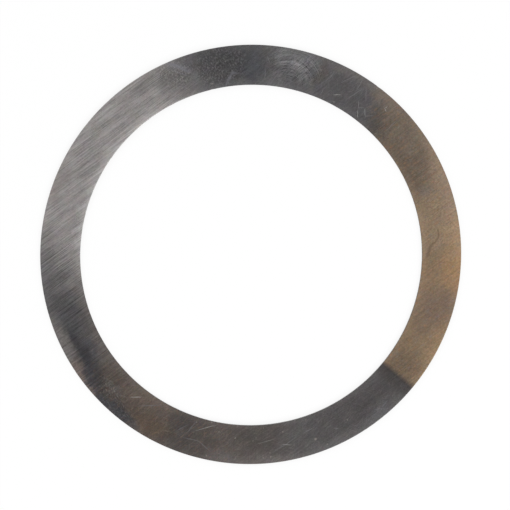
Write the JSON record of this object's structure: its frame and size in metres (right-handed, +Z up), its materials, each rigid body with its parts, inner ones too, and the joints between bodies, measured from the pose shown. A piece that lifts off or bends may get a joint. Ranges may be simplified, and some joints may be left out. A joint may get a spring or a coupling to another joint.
{
  "type": "shim ring",
  "caption": "Flat thin steel ring with a wide round bore, slid over a shaft or dropped into a housing to set a gap or take up end play.",
  "frame": {"origin": "centre of the ring on its underside", "axes": "+Z up along the ring's axis, out of the face that the punch entered; +X and +Y across the ring, with the grinding lay 36 degrees from +X towards +Y"},
  "size_m": [0.1048, 0.1048, 0.001],
  "materials": {
    "ground_steel": "surface ground with a straight lay, handled and lightly stained"
  },
  "bodies": {
    "root": {"shim_ring": "ground_steel"}
  },
  "joints": []
}
